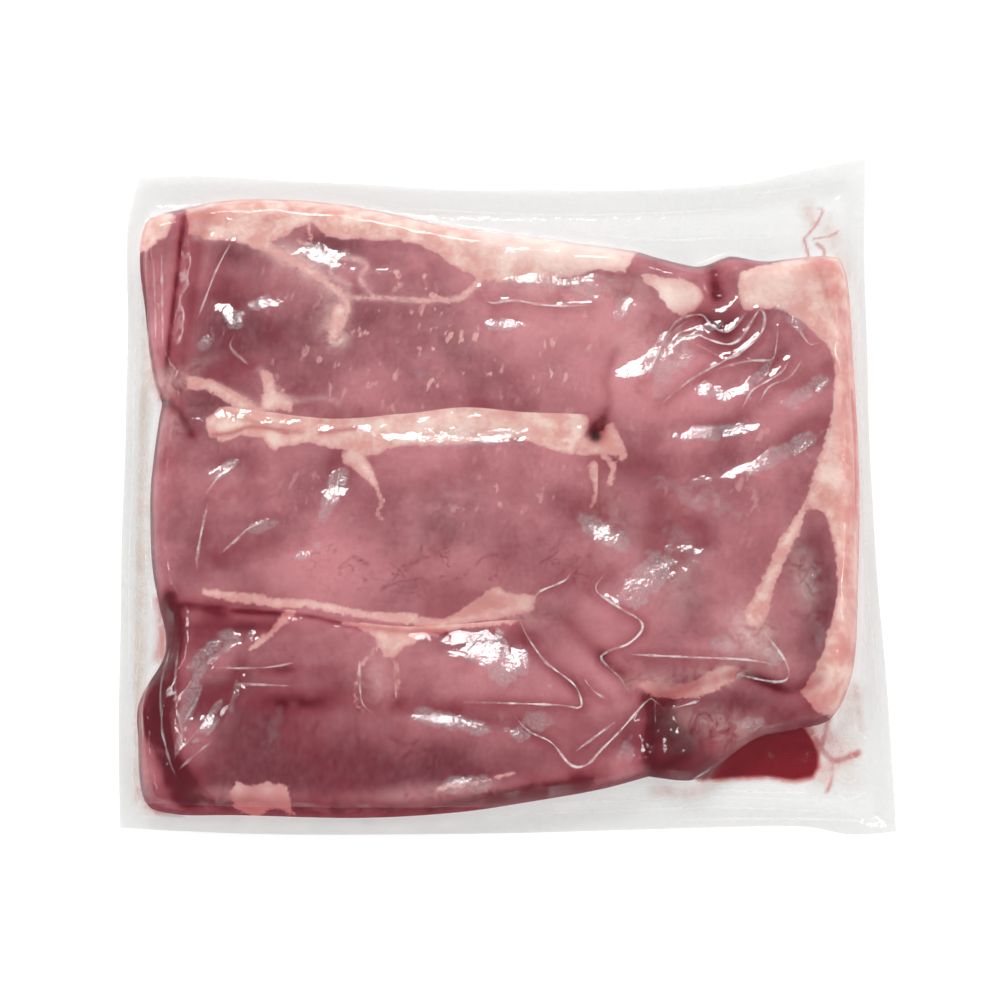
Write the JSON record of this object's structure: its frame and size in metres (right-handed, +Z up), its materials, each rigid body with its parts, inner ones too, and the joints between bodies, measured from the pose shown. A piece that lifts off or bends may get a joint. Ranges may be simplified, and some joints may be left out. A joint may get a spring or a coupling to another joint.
{
  "type": "vacuum pack of beef steaks",
  "caption": "Flat rectangular pouch of clear film, vacuum-sealed tight over raw boneless beef steaks with white fat edges, lying flat with a thin heat-sealed flange.",
  "frame": {"origin": "centre of the pouch's footprint, on the surface it lies on", "axes": "+X to the right along the pouch's long side, +Y to the pouch's far sealed mouth, +Z up out of the face that shows the steaks"},
  "size_m": [0.3001, 0.2701, 0.0225],
  "materials": {
    "film_wrapped_meat": "raw beef with creamy fat edges seen through clear, tight, glossy pouch film",
    "pouch_film": "clear, slightly milky polyamide and polyethylene pouch film, glossy with fine creases",
    "raw_beef": "moist raw beef, dull rose red with fine fibre and pale marbling, creamy white fat",
    "meat_juice": "thin red meat juice lying between the films"
  },
  "bodies": {
    "root": {"steak_vacuum_pouch": "film_wrapped_meat"}
  },
  "joints": []
}
